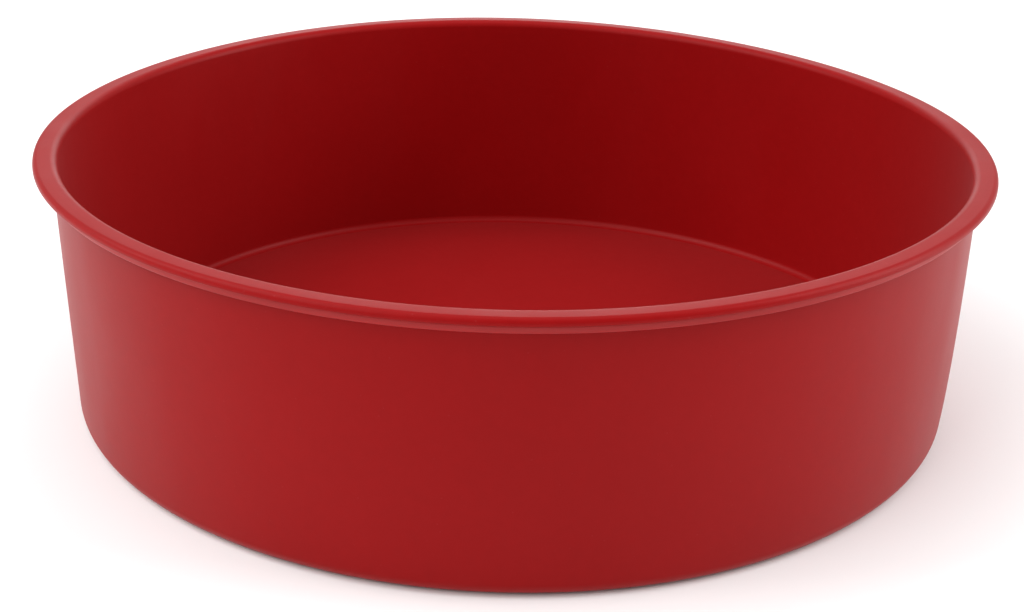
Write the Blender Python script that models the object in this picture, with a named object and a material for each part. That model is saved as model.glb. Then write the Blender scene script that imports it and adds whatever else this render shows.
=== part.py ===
"""Deep round baking pan of moulded silicone, with the stiff ring that seats under its rim flange.

The frame has +Z up. Its origin is the centre of the underside, on the surface the pan stands on.
The pan body is one turned shell: floor, tapered wall and flat rim flange. The ring is pushed up the
wall from below until it sits under the flange, and it pulls off downwards.
"""

import math

import bpy
from mathutils import Vector

# Pan body, in metres
MOUTH_RADIUS = 0.1100          # inside of the wall where it meets the rim
FLANGE_WIDTH = 0.00575         # from the mouth to the flange's outer edge
HEIGHT = 0.0654                # underside to the top of the rim
WALL = 0.0016                  # silicone thickness in the wall
FLOOR = 0.0018                 # silicone thickness in the floor
FLANGE_THICKNESS = 0.0017
DRAFT = math.radians(1.9)      # lean of the wall, narrower at the base
BASE_ROUND = 0.0035            # outside radius between floor and wall
FLOOR_ROUND = 0.0019           # inside radius between floor and wall
MOUTH_ROUND = 0.0019           # inside edge of the rim
EDGE_ROUND = 0.0012            # the flange's outer edge, above
LIP_ROUND = 0.00025            # the flange's outer edge, below
EDGE_SHARE = 0.7               # most of the flange's thickness that its upper rounding may take
ROOT_ROUND = 0.0003            # hollow corner under the flange

# Reinforcing ring, in metres
RING_WIDTH = 0.0020            # radially
RING_HEIGHT = 0.0019
RING_TOP_ROUND = 0.0007        # outer edge, above
RING_FOOT_ROUND = 0.0003       # outer edge, below
RING_LEAD_IN = 0.0004          # inner edges, eased so that the ring slips up the wall

# Clearance between the ring and the pan body, radially and below the flange
CLEARANCE = 0.0003

# Fineness of the turned solids
SEGMENTS = 96
STEPS_PER_TURN = 12            # straight pieces in a full turn of a rounded edge
MERGE_DISTANCE = 0.000001      # joins a turned outline's ends and its points on the axis

# Surface colours, linear, and roughness
SILICONE_RED = (0.31, 0.012, 0.014)
SILICONE_ROUGHNESS = 0.42
NYLON_RED = (0.33, 0.014, 0.016)
NYLON_ROUGHNESS = 0.36

# Sizes that follow from the driving ones
FLANGE_RADIUS = MOUTH_RADIUS + FLANGE_WIDTH
FLANGE_UNDERSIDE = HEIGHT - FLANGE_THICKNESS
RING_SEAT = FLANGE_UNDERSIDE - CLEARANCE - RING_HEIGHT


def wall_outside(height):
    """Radius of the wall's outer face at a height above the underside."""
    return MOUTH_RADIUS + WALL - (FLANGE_UNDERSIDE - height) * math.tan(DRAFT)


def wall_inside(height):
    """Radius of the wall's inner face at a height above the underside."""
    return wall_outside(height) - WALL


def clear_scene():
    """Remove every object that the file starts with."""
    for item in list(bpy.data.objects):
        bpy.data.objects.remove(item, do_unlink=True)


def make_material(name, colour, roughness):
    """A Principled BSDF of one colour, not metallic."""
    material = bpy.data.materials.new(name)
    material.use_nodes = True
    shader = material.node_tree.nodes["Principled BSDF"]
    shader.inputs["Base Color"].default_value = (*colour, 1.0)
    shader.inputs["Roughness"].default_value = roughness
    shader.inputs["Metallic"].default_value = 0.0
    material.diffuse_color = (*colour, 1.0)
    return material


def silicone_material():
    """Satin dark red silicone."""
    return make_material("red_silicone", SILICONE_RED, SILICONE_ROUGHNESS)


def ring_material():
    """Heat-resistant nylon in the same red, slightly glossier."""
    return make_material("red_nylon", NYLON_RED, NYLON_ROUGHNESS)


def rounded_corner(before, corner, after, radius):
    """Points of the arc that rounds a corner between two straight runs."""
    into = (before - corner).normalized()
    out = (after - corner).normalized()
    half = into.angle(out) / 2.0
    start = corner + into * (radius / math.tan(half))
    end = corner + out * (radius / math.tan(half))
    centre = corner + (into + out).normalized() * (radius / math.sin(half))
    turn = math.pi - 2.0 * half
    steps = max(2, math.ceil(turn / (2.0 * math.pi) * STEPS_PER_TURN))
    arm = start - centre
    side = 1.0 if arm.cross(end - centre) > 0.0 else -1.0
    points = []
    for step in range(steps + 1):
        angle = side * turn * step / steps
        points.append(centre + Vector((
            arm.x * math.cos(angle) - arm.y * math.sin(angle),
            arm.x * math.sin(angle) + arm.y * math.cos(angle),
        )))
    return points


def rounded_outline(corners, closed):
    """Turn (radius, height, rounding) corners into the points of a turned profile."""
    places = [Vector((across, up)) for across, up, _ in corners]
    count = len(places)
    points = []
    for index, (_, _, rounding) in enumerate(corners):
        is_end = not closed and index in (0, count - 1)
        if is_end or rounding == 0.0:
            points.append(places[index])
            continue
        before = places[index - 1]
        after = places[(index + 1) % count]
        points.extend(rounded_corner(before, places[index], after, rounding))
    return points


def turned_object(name, outline, closed, material):
    """A closed solid made by turning an outline, in the XZ plane at +X, about Z."""
    count = len(outline)
    edges = [(index, index + 1) for index in range(count - 1)]
    if closed:
        edges.append((count - 1, 0))
    mesh = bpy.data.meshes.new(name)
    mesh.from_pydata([(point.x, 0.0, point.y) for point in outline], edges, [])
    mesh.materials.append(material)
    item = bpy.data.objects.new(name, mesh)
    bpy.context.scene.collection.objects.link(item)
    turn = item.modifiers.new("turn", "SCREW")
    turn.axis = "Z"
    turn.angle = 2.0 * math.pi
    turn.screw_offset = 0.0
    turn.steps = SEGMENTS
    turn.render_steps = SEGMENTS
    turn.use_merge_vertices = True
    turn.merge_threshold = MERGE_DISTANCE
    turn.use_smooth_shade = True
    return item


def pan_body():
    """Floor, tapered wall and rim flange in one moulding."""
    edge_round = min(EDGE_ROUND, EDGE_SHARE * FLANGE_THICKNESS)
    corners = [
        (0.0, FLOOR, 0.0),
        (wall_inside(FLOOR), FLOOR, FLOOR_ROUND),
        (wall_inside(HEIGHT), HEIGHT, MOUTH_ROUND),
        (FLANGE_RADIUS, HEIGHT, edge_round),
        (FLANGE_RADIUS, FLANGE_UNDERSIDE, LIP_ROUND),
        (wall_outside(FLANGE_UNDERSIDE), FLANGE_UNDERSIDE, ROOT_ROUND),
        (wall_outside(0.0), 0.0, BASE_ROUND),
        (0.0, 0.0, 0.0),
    ]
    return turned_object("pan_body", rounded_outline(corners, False), False, silicone_material())


def reinforcing_ring():
    """Stiff hoop that fits the wall under the flange; its object's origin is its seat's height."""
    inner = wall_outside(FLANGE_UNDERSIDE) + CLEARANCE
    outer = inner + RING_WIDTH
    corners = [
        (outer, RING_HEIGHT, RING_TOP_ROUND),
        (outer, 0.0, RING_FOOT_ROUND),
        (inner, 0.0, RING_LEAD_IN),
        (inner, RING_HEIGHT, RING_LEAD_IN),
    ]
    ring = turned_object("reinforcing_ring", rounded_outline(corners, True), True, ring_material())
    ring.location = (0.0, 0.0, RING_SEAT)
    return ring


def main():
    """Build the pan and hang both pieces on one empty at the frame's origin."""
    clear_scene()
    pan = bpy.data.objects.new("baking_pan", None)
    bpy.context.scene.collection.objects.link(pan)
    for piece in (pan_body(), reinforcing_ring()):
        piece.parent = pan


main()
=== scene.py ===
"""Deep round baking pan of red silicone with its stiff rim ring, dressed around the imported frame.

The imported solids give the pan's height and radii, and where the ring sits. The pan body and the ring
are turned again here with finer sections and the slight waviness of a flexible moulding, and both
get finishes made of nodes. Lengths are in metres and +Z is up.
"""

import logging
import math
from collections.abc import Callable, Iterable
from dataclasses import dataclass, field
from enum import Enum

import bmesh
import bpy
from mathutils import Matrix, Vector


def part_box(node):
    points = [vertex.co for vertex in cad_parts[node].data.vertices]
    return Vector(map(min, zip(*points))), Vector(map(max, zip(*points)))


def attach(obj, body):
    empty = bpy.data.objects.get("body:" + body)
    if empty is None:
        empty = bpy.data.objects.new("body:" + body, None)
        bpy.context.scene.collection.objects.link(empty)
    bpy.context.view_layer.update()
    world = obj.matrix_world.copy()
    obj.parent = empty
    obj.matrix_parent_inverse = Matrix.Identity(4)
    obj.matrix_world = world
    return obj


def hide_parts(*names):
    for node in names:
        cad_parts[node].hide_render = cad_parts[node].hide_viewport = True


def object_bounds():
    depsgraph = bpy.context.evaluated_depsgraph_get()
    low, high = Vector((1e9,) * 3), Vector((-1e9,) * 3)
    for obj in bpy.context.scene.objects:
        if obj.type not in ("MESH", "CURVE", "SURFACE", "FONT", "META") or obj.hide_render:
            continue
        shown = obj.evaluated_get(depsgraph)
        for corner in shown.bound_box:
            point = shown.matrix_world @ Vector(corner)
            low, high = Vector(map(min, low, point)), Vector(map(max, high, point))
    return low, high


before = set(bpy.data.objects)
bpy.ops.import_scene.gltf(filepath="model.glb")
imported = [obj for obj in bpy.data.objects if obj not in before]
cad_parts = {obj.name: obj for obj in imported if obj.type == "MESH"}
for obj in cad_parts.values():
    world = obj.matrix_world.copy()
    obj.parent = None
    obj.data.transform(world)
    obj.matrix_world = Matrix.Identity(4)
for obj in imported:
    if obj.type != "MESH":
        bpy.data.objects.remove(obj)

CAD_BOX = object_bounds()
LOG = logging.getLogger("baking_pan")
MM = 0.001
MERGE_DISTANCE = 0.001 * MM    # joins places that coincide once an outline is turned

Colour = tuple[float, float, float]
Place = tuple[float, float, float]


class Body(Enum):
    """The bodies of the frame that pieces ride on."""

    PAN = "pan"
    RING = "ring"


class Slot(Enum):
    """The record's material slots."""

    SILICONE = "silicone"
    RING_NYLON = "ring_nylon"


# Finishes


class NodeBench:
    """A material's node tree with short ways to lay out the nodes that the finishes share."""

    MIX_AMOUNT = 0     # the Mix node's inputs and output for colours, which share names with its others
    MIX_BELOW = 6
    MIX_ABOVE = 7
    MIX_RESULT = 2
    DOT_CORE = 0.5     # share of a dot's radius that it covers fully

    def __init__(self, name: str) -> None:
        """Start a material with a Principled shader and object coordinates in metres.

        Args:
            name: the material's name.
        """
        self.material = bpy.data.materials.new(name)
        self.material.use_nodes = True
        self.tree = self.material.node_tree
        self.shader = self.tree.nodes["Principled BSDF"]
        self.places = self.tree.nodes.new("ShaderNodeTexCoord").outputs["Object"]

    def link(self, source: bpy.types.NodeSocket, target: bpy.types.NodeSocket) -> None:
        """Join an output to an input."""
        self.tree.links.new(source, target)

    def set(self, socket: str, value: float | tuple[float, ...]) -> None:
        """Set a value that is the same all over on one of the shader's own sockets."""
        self.shader.inputs[socket].default_value = value

    def noise(
        self, feature: float, detail: float = 2.0, stretch: Place = (1.0, 1.0, 1.0), warp: float = 0.0
    ) -> bpy.types.NodeSocket:
        """Fractal noise, from 0 to 1.

        Args:
            feature: the size of its largest features.
            detail: how many finer layers it has.
            stretch: scale along each axis before the noise is read.
            warp: distortion of the noise by itself.

        Returns:
            The noise's value.
        """
        mapping = self.tree.nodes.new("ShaderNodeMapping")
        mapping.inputs["Scale"].default_value = stretch
        self.link(self.places, mapping.inputs["Vector"])
        node = self.tree.nodes.new("ShaderNodeTexNoise")
        node.inputs["Scale"].default_value = 1.0 / feature
        node.inputs["Detail"].default_value = detail
        node.inputs["Distortion"].default_value = warp
        self.link(mapping.outputs["Vector"], node.inputs["Vector"])
        return node.outputs["Fac"]

    def specks(self, spacing: float, size: float) -> bpy.types.NodeSocket:
        """Small scattered dots with soft edges, 1 inside a dot and 0 between them.

        Args:
            spacing: the mean distance between dots.
            size: a dot's radius.

        Returns:
            The dots' mask.
        """
        node = self.tree.nodes.new("ShaderNodeTexVoronoi")
        node.inputs["Scale"].default_value = 1.0 / spacing
        self.link(self.places, node.inputs["Vector"])
        share = size / spacing
        return self.spread(node.outputs["Distance"], share, self.DOT_CORE * share, 0.0, 1.0)

    def spread(
        self, value: bpy.types.NodeSocket, low: float, high: float, to_low: float, to_high: float
    ) -> bpy.types.NodeSocket:
        """Stretch a value's range to another range, held at its ends.

        Args:
            value: the value to stretch.
            low: the value that becomes to_low.
            high: the value that becomes to_high.
            to_low: one end of the result.
            to_high: the other end of the result.

        Returns:
            The stretched value.
        """
        node = self.tree.nodes.new("ShaderNodeMapRange")
        node.clamp = True
        self.link(value, node.inputs["Value"])
        node.inputs["From Min"].default_value = low
        node.inputs["From Max"].default_value = high
        node.inputs["To Min"].default_value = to_low
        node.inputs["To Max"].default_value = to_high
        return node.outputs["Result"]

    def add(self, first: bpy.types.NodeSocket, second: bpy.types.NodeSocket) -> bpy.types.NodeSocket:
        """The sum of two values."""
        node = self.tree.nodes.new("ShaderNodeMath")
        node.operation = "ADD"
        self.link(first, node.inputs[0])
        self.link(second, node.inputs[1])
        return node.outputs["Value"]

    def lay(
        self, under: bpy.types.NodeSocket | Colour, over: Colour, amount: bpy.types.NodeSocket
    ) -> bpy.types.NodeSocket:
        """Lay one colour over another.

        Args:
            under: the colour beneath, as a socket or a plain colour.
            over: the colour on top.
            amount: how much of it shows.

        Returns:
            The combined colour.
        """
        node = self.tree.nodes.new("ShaderNodeMix")
        node.data_type = "RGBA"
        below, above = node.inputs[self.MIX_BELOW], node.inputs[self.MIX_ABOVE]
        if isinstance(under, bpy.types.NodeSocket):
            self.link(under, below)
        else:
            below.default_value = (*under, 1.0)
        above.default_value = (*over, 1.0)
        self.link(amount, node.inputs[self.MIX_AMOUNT])
        return node.outputs[self.MIX_RESULT]

    def bump(
        self, height: bpy.types.NodeSocket, depth: float, under: bpy.types.NodeSocket | None = None
    ) -> bpy.types.NodeSocket:
        """Raise the surface by a height field.

        Args:
            height: the height field, from 0 to 1.
            depth: how high 1 stands.
            under: another bump's normal, to lay this one on.

        Returns:
            The bumped normal.
        """
        node = self.tree.nodes.new("ShaderNodeBump")
        node.inputs["Distance"].default_value = depth
        node.inputs["Strength"].default_value = 1.0
        self.link(height, node.inputs["Height"])
        if under is not None:
            self.link(under, node.inputs["Normal"])
        return node.outputs["Normal"]


@dataclass(frozen=True)
class SiliconeFinish:
    """Satin red moulded silicone: a fine mould grain, soft waves and a trace of dust."""

    pigment: Colour = (0.278, 0.0010, 0.0017)
    deep_pigment: Colour = (0.262, 0.0007, 0.0013)
    dust: Colour = (0.34, 0.05, 0.05)
    ior: float = 1.19
    roughness_low: float = 0.38
    roughness_high: float = 0.46
    sheen: float = 0.05
    sheen_spread: float = 0.5
    grain: float = 0.35 * MM
    grain_layers: float = 1.5
    grain_depth: float = 0.012 * MM
    ripple: float = 14.0 * MM
    ripple_layers: float = 1.0
    ripple_depth: float = 0.06 * MM
    cloud: float = 38.0 * MM
    cloud_warp: float = 0.4
    mottle: float = 2.2 * MM
    mottle_layers: float = 3.0
    pigment_range: tuple[float, float] = (0.75, 1.25)
    speck_spacing: float = 3.1 * MM
    speck_size: float = 0.22 * MM
    speck_strength: float = 0.25
    smear: float = 26.0 * MM
    smear_layers: float = 4.0
    smear_stretch: Place = (1.0, 1.0, 0.35)
    smear_warp: float = 0.8
    smear_range: tuple[float, float] = (0.3, 0.7)

    def material(self) -> bpy.types.Material:
        """Lay out the finish.

        Returns:
            The material.
        """
        bench = NodeBench("red_silicone")
        clouds = bench.noise(self.cloud, self.mottle_layers, warp=self.cloud_warp)
        mottle = bench.noise(self.mottle, self.mottle_layers)
        depth = bench.spread(bench.add(clouds, mottle), *self.pigment_range, 0.0, 1.0)
        colour = bench.lay(self.pigment, self.deep_pigment, depth)
        dots = bench.specks(self.speck_spacing, self.speck_size)
        settled = bench.spread(dots, 0.0, 1.0, 0.0, self.speck_strength)
        colour = bench.lay(colour, self.dust, settled)
        bench.link(colour, bench.shader.inputs["Base Color"])
        wiped = bench.noise(self.smear, self.smear_layers, self.smear_stretch, self.smear_warp)
        bench.link(
            bench.spread(wiped, *self.smear_range, self.roughness_low, self.roughness_high),
            bench.shader.inputs["Roughness"],
        )
        waves = bench.bump(bench.noise(self.ripple, self.ripple_layers), self.ripple_depth)
        grain = bench.bump(bench.noise(self.grain, self.grain_layers), self.grain_depth, waves)
        bench.link(grain, bench.shader.inputs["Normal"])
        bench.set("IOR", self.ior)
        bench.set("Sheen Weight", self.sheen)
        bench.set("Sheen Roughness", self.sheen_spread)
        return bench.material


@dataclass(frozen=True)
class NylonFinish:
    """Satin red nylon of the ring: slightly glossier, with faint flow marks from its moulding. Its red
    is lighter than the silicone's, partly its own tone and partly painted highlight on the band shaded
    under the flange.
    """

    # lighter than the silicone's red: partly the nylon's own tone, partly painted highlight for the
    # ring's band in the shade under the flange
    pigment: Colour = (0.365, 0.0012, 0.0018)
    flow_mark: Colour = (0.340, 0.0010, 0.0015)
    ior: float = 1.40
    roughness_low: float = 0.32
    roughness_high: float = 0.42
    grain: float = 0.25 * MM
    grain_depth: float = 0.006 * MM
    flow: float = 9.0 * MM
    flow_layers: float = 4.0
    flow_stretch: Place = (0.4, 0.4, 3.0)
    flow_warp: float = 1.2
    streak_range: tuple[float, float] = (0.4, 0.7)
    gloss_range: tuple[float, float] = (0.3, 0.7)

    def material(self) -> bpy.types.Material:
        """Lay out the finish.

        Returns:
            The material.
        """
        bench = NodeBench("red_nylon")
        flow = bench.noise(self.flow, self.flow_layers, self.flow_stretch, self.flow_warp)
        streak = bench.spread(flow, *self.streak_range, 0.0, 1.0)
        bench.link(bench.lay(self.pigment, self.flow_mark, streak), bench.shader.inputs["Base Color"])
        bench.link(
            bench.spread(flow, *self.gloss_range, self.roughness_low, self.roughness_high),
            bench.shader.inputs["Roughness"],
        )
        grain = bench.bump(bench.noise(self.grain), self.grain_depth)
        bench.link(grain, bench.shader.inputs["Normal"])
        bench.set("IOR", self.ior)
        return bench.material


@dataclass(frozen=True)
class FloorFinish:
    """A pale matt studio floor with barely visible mottling."""

    paint: Colour = (0.92, 0.92, 0.92)
    mottle: Colour = (0.90, 0.90, 0.90)
    patch: float = 0.35
    roughness: float = 0.9
    specular: float = 0.1

    def material(self) -> bpy.types.Material:
        """Lay out the finish.

        Returns:
            The material.
        """
        bench = NodeBench("pale_floor")
        patches = bench.noise(self.patch)
        bench.link(bench.lay(self.paint, self.mottle, patches), bench.shader.inputs["Base Color"])
        bench.set("Roughness", self.roughness)
        bench.set("Specular IOR Level", self.specular)
        return bench.material


# Shapes


@dataclass(frozen=True)
class Corner:
    """A corner of a turned outline: distance from the axis, height, and its rounding's radius."""

    across: float
    up: float
    rounding: float = 0.0


@dataclass
class Outline:
    """A turned piece's outline, from corners joined by straight runs."""

    corners: list[Corner]
    closed: bool
    chord: float = 0.12 * MM
    run: float = 2.5 * MM
    least_steps: int = 4

    def points(self) -> list[Vector]:
        """Round the corners and divide the straight runs.

        Returns:
            The outline's points, each as (across, up).
        """
        knots: list[Vector] = []
        for index in range(len(self.corners)):
            knots.extend(self._corner_points(index))
        spans = list(zip(knots, knots[1:]))
        if self.closed:
            spans.append((knots[-1], knots[0]))
        points: list[Vector] = []
        for start, end in spans:
            pieces = max(1, round((end - start).length / self.run))
            points.extend(start.lerp(end, step / pieces) for step in range(pieces))
        if not self.closed:
            points.append(knots[-1])
        return points

    def _corner_points(self, index: int) -> list[Vector]:
        """The arc that rounds one corner, or the corner itself where it is sharp or an end.

        Args:
            index: the corner's place in the list.

        Returns:
            The arc's points in order.
        """
        count = len(self.corners)
        here = self.corners[index]
        corner = Vector((here.across, here.up))
        if here.rounding == 0.0 or (not self.closed and index in (0, count - 1)):
            return [corner]
        before = self.corners[index - 1]
        after = self.corners[(index + 1) % count]
        into = (Vector((before.across, before.up)) - corner).normalized()
        out = (Vector((after.across, after.up)) - corner).normalized()
        half = into.angle(out) / 2.0
        centre = corner + (into + out).normalized() * (here.rounding / math.sin(half))
        start = corner + into * (here.rounding / math.tan(half)) - centre
        end = corner + out * (here.rounding / math.tan(half)) - centre
        turn = math.pi - 2.0 * half
        side = math.copysign(1.0, start.cross(end))
        steps = max(self.least_steps, math.ceil(here.rounding * turn / self.chord))
        angles = [side * turn * step / steps for step in range(steps + 1)]
        return [centre + Matrix.Rotation(angle, 2) @ start for angle in angles]


@dataclass(frozen=True)
class Wave:
    """A wave that runs round the rim: how many crests, how high, and where one crest is."""

    crests: int
    reach: float
    bearing: float

    def at(self, angle: float) -> float:
        """The wave's height at an angle round the pan, in metres."""
        return self.reach * math.cos(self.crests * (angle - math.radians(self.bearing)))


@dataclass(frozen=True)
class Flex:
    """How a flexible pan stands: true at the base, wavy at the rim, and with a slight belly."""

    outward: tuple[Wave, ...] = (Wave(2, 0.14 * MM, 47.0), Wave(3, 0.25 * MM, -30.0))
    upward: tuple[Wave, ...] = (Wave(2, 0.32 * MM, -53.5), Wave(3, 0.43 * MM, -26.0))
    belly: float = 1.05 * MM
    belly_bearing: float = 0.0
    belly_low: float = 0.6
    belly_at_rim: float = 0.35
    rim_radius: float = CAD_BOX[1].x
    rim_height: float = CAD_BOX[1].z

    def place(self, point: Vector) -> Vector:
        """Where a point of the true form stands.

        Args:
            point: the point in the frame.

        Returns:
            The point after the pan has flexed.
        """
        across = math.hypot(point.x, point.y)
        if across == 0.0:
            return point.copy()
        angle = math.atan2(point.y, point.x)
        share = max(0.0, point.z / self.rim_height)
        out = share * sum(wave.at(angle) for wave in self.outward) + self._belly_at(share, angle)
        grown = 1.0 + out / self.rim_radius
        lifted = share * sum(wave.at(angle) for wave in self.upward)
        return Vector((point.x * grown, point.y * grown, point.z + lifted))

    def _belly_at(self, share: float, angle: float) -> float:
        """How far the wall bellies out, at a share of the height and an angle round the pan.

        Args:
            share: height as a share of the rim's, from 0 to 1.
            angle: angle round the pan.

        Returns:
            The distance outward, in metres.
        """
        side = 0.5 + 0.5 * math.cos(angle - math.radians(self.belly_bearing))
        bulge = math.sin(math.pi * min(1.0, share) ** self.belly_low)
        return self.belly * side * ((1.0 - 0.5 * self.belly_at_rim) * bulge + self.belly_at_rim * share)


def turned_mesh(name: str, outline: Outline, flex: Flex, segments: int) -> bpy.types.Object:
    """Turn an outline about Z into one closed piece and let it flex.

    Args:
        name: the piece's name.
        outline: its section.
        flex: how it stands.
        segments: how many facets go round it.

    Returns:
        The piece, linked to the scene and shaded smooth.
    """
    form = bmesh.new()
    places = outline.points()
    section = [form.verts.new((place.x, 0.0, place.y)) for place in places]
    edges = [form.edges.new(pair) for pair in zip(section, section[1:])]
    if outline.closed:
        edges.append(form.edges.new((section[-1], section[0])))
    bmesh.ops.spin(
        form,
        geom=section + edges,
        axis=(0.0, 0.0, 1.0),
        cent=(0.0, 0.0, 0.0),
        angle=2.0 * math.pi,
        steps=segments,
        use_merge=True,
    )
    bmesh.ops.remove_doubles(form, verts=form.verts, dist=MERGE_DISTANCE)
    bmesh.ops.recalc_face_normals(form, faces=form.faces)
    for vertex in form.verts:
        vertex.co = flex.place(vertex.co)
    mesh = bpy.data.meshes.new(name)
    form.to_mesh(mesh)
    form.free()
    mesh.shade_smooth()
    piece = bpy.data.objects.new(name, mesh)
    bpy.context.scene.collection.objects.link(piece)
    return piece


@dataclass
class PanBody:
    """The silicone moulding: flat floor, tapered wall and rim flange."""

    flex: Flex
    finish: SiliconeFinish = field(default_factory=SiliconeFinish)
    rim_radius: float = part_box("pan_body")[1].x
    height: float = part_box("pan_body")[1].z
    mouth_radius: float = 110.0 * MM
    wall: float = 1.6 * MM
    floor: float = 1.8 * MM
    flange: float = 1.7 * MM
    draft: float = math.radians(1.9)
    base_round: float = 3.5 * MM
    floor_round: float = 1.9 * MM
    mouth_round: float = 1.9 * MM
    edge_round: float = 1.2 * MM
    lip_round: float = 0.25 * MM
    root_round: float = 0.3 * MM
    segments: int = 288

    def wall_outside(self, up: float) -> float:
        """Radius of the wall's outer face at a height."""
        return self.mouth_radius + self.wall - (self.height - self.flange - up) * math.tan(self.draft)

    def outline(self) -> Outline:
        """The moulding's section, from the middle of the floor over the rim to the underside."""
        underside = self.height - self.flange
        mouth = self.wall_outside(self.height) - self.wall
        return Outline(
            [
                Corner(0.0, self.floor),
                Corner(self.wall_outside(self.floor) - self.wall, self.floor, self.floor_round),
                Corner(mouth, self.height, self.mouth_round),
                Corner(self.rim_radius, self.height, self.edge_round),
                Corner(self.rim_radius, underside, self.lip_round),
                Corner(self.wall_outside(underside), underside, self.root_round),
                Corner(self.wall_outside(0.0), 0.0, self.base_round),
                Corner(0.0, 0.0),
            ],
            closed=False,
        )

    def build(self) -> bpy.types.Object:
        """Build the moulding and dress it.

        Returns:
            The piece, riding on the pan.
        """
        piece = turned_mesh("silicone_moulding", self.outline(), self.flex, self.segments)
        piece.data.materials.append(self.finish.material())
        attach(piece, Body.PAN.value)
        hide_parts("pan_body")
        return piece


@dataclass
class RimRing:
    """The stiff hoop under the flange."""

    flex: Flex
    finish: NylonFinish = field(default_factory=NylonFinish)
    outer_radius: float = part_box("reinforcing_ring")[1].x
    top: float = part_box("reinforcing_ring")[1].z
    foot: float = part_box("reinforcing_ring")[0].z
    width: float = 2.0 * MM
    top_round: float = 0.7 * MM
    foot_round: float = 0.3 * MM
    lead_in: float = 0.4 * MM
    segments: int = 288

    def outline(self) -> Outline:
        """The hoop's section."""
        inner = self.outer_radius - self.width
        return Outline(
            [
                Corner(self.outer_radius, self.top, self.top_round),
                Corner(self.outer_radius, self.foot, self.foot_round),
                Corner(inner, self.foot, self.lead_in),
                Corner(inner, self.top, self.lead_in),
            ],
            closed=True,
        )

    def build(self) -> bpy.types.Object:
        """Build the hoop and dress it.

        Returns:
            The piece, riding on the ring's body.
        """
        piece = turned_mesh("rim_ring", self.outline(), self.flex, self.segments)
        piece.data.materials.append(self.finish.material())
        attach(piece, Body.RING.value)
        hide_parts("reinforcing_ring")
        return piece


# Studio


@dataclass(frozen=True)
class Softbox:
    """A large rectangular area light aimed at the pan."""

    name: str
    place: Place
    width: float
    depth: float
    power: float
    aim: Place = (0.0, 0.0, 0.03)

    def build(self) -> bpy.types.Object:
        """Make the light and point it.

        Returns:
            The light's object.
        """
        lamp = bpy.data.lights.new(self.name, "AREA")
        lamp.shape = "RECTANGLE"
        lamp.size = self.width
        lamp.size_y = self.depth
        lamp.energy = self.power
        item = bpy.data.objects.new(self.name, lamp)
        item.location = self.place
        item.visible_camera = False
        item.rotation_euler = (Vector(self.aim) - Vector(self.place)).to_track_quat("-Z", "Y").to_euler()
        bpy.context.scene.collection.objects.link(item)
        return item


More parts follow.
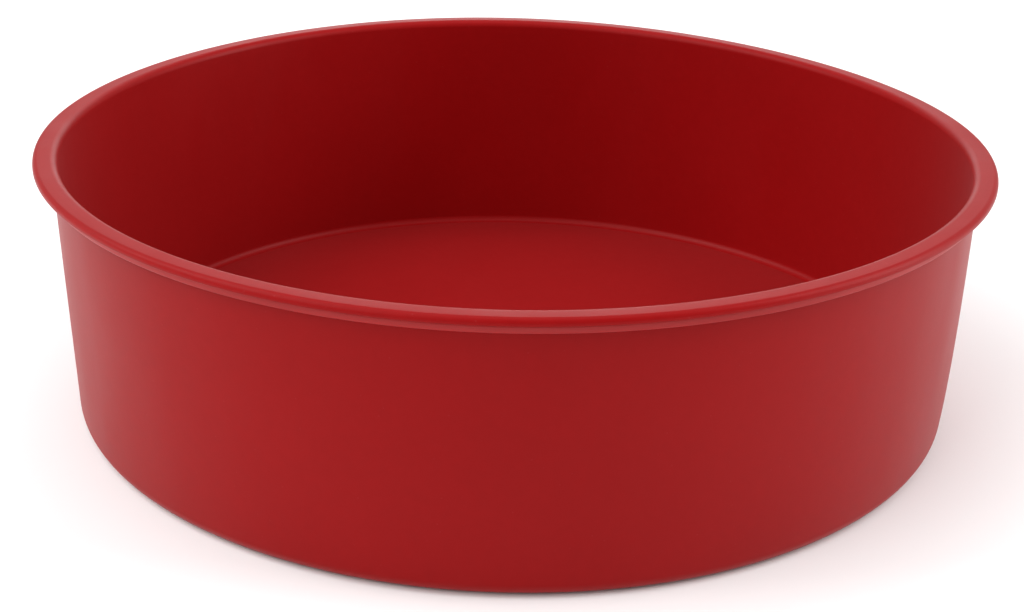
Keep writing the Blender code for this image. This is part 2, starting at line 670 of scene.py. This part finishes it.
@dataclass
class Studio:
    """Pale floor, even surroundings and a few large softboxes."""

    floor_reach: float = 12.0
    floor_squares: int = 8
    surroundings: Colour = (1.0, 1.0, 1.0)
    surroundings_strength: float = 0.47
    floor_finish: FloorFinish = field(default_factory=FloorFinish)
    softboxes: tuple[Softbox, ...] = (
        Softbox("left_softbox", (-1.26, 0.0, 0.98), 1.0, 1.0, 10.8),
        Softbox("front_left_softbox", (-0.89, -0.89, 0.98), 1.0, 1.0, 8.6),
        Softbox("high_left_softbox", (-0.75, 0.0, 1.41), 0.8, 0.8, 4.8),
        Softbox("right_softbox", (1.26, 0.0, 0.98), 1.0, 1.0, 13.0),
        Softbox("low_right_softbox", (1.55, 0.0, 0.39), 0.6, 0.6, 6.3),
        Softbox("low_back_softbox", (0.0, 1.55, 0.39), 0.6, 0.6, 1.5),
        Softbox("mid_back_softbox", (0.0, 1.4, 0.66), 1.2, 0.5, 1.9),
        Softbox("overhead_softbox", (0.0, 0.0, 1.6), 1.0, 1.0, 4.6),
    )

    def build(self) -> None:
        """Lay the floor, light the surroundings, set up the softboxes and keep colours plain."""
        bpy.context.scene.view_settings.view_transform = "Standard"
        self._floor()
        self._surroundings()
        for softbox in self.softboxes:
            softbox.build()

    def _floor(self) -> None:
        """A wide pale floor that the pan stands on."""
        form = bmesh.new()
        squares = self.floor_squares
        bmesh.ops.create_grid(form, x_segments=squares, y_segments=squares, size=self.floor_reach)
        mesh = bpy.data.meshes.new("studio_floor")
        form.to_mesh(mesh)
        form.free()
        mesh.materials.append(self.floor_finish.material())
        floor = bpy.data.objects.new("studio_floor", mesh)
        bpy.context.scene.collection.objects.link(floor)

    def _surroundings(self) -> None:
        """Even light from everywhere above the floor."""
        world = bpy.data.worlds.new("studio")
        world.use_nodes = True
        background = world.node_tree.nodes["Background"]
        background.inputs["Color"].default_value = (*self.surroundings, 1.0)
        background.inputs["Strength"].default_value = self.surroundings_strength
        bpy.context.scene.world = world


@dataclass
class Viewpoint:
    """The camera: where it stands, what it looks at, its lens and its slight roll."""

    station: Place = (0.0, -0.4104, 0.1936)
    aim: Place = (0.0001, 0.0, 0.0183)
    lens: float = 60.7
    sensor_width: float = 36.0
    roll: float = math.radians(1.36)
    nearest: float = 0.01
    farthest: float = 50.0

    def build(self) -> bpy.types.Object:
        """Make the camera and give it to the scene.

        Returns:
            The camera's object.
        """
        look = (Vector(self.aim) - Vector(self.station)).normalized()
        right = look.cross(Vector((0.0, 0.0, 1.0))).normalized()
        up = right.cross(look)
        level = Matrix((right, up, -look)).transposed()
        rolled = level @ Matrix.Rotation(self.roll, 3, "Z")
        lens = bpy.data.cameras.new("product_camera")
        lens.lens = self.lens
        lens.sensor_width = self.sensor_width
        lens.clip_start = self.nearest
        lens.clip_end = self.farthest
        camera = bpy.data.objects.new("product_camera", lens)
        camera.matrix_world = Matrix.Translation(self.station) @ rolled.to_4x4()
        bpy.context.scene.collection.objects.link(camera)
        bpy.context.scene.camera = camera
        return camera


def main() -> None:
    """Build the studio and the pan in order."""
    logging.basicConfig(level=logging.INFO, format="%(name)s: %(message)s")
    Viewpoint().build()
    Studio().build()
    flex = Flex()
    makers: tuple[Callable[[], bpy.types.Object], ...] = (PanBody(flex).build, RimRing(flex).build)
    for make in makers:
        piece = make()
    bpy.context.view_layer.update()


if __name__ == "__main__":
    main()
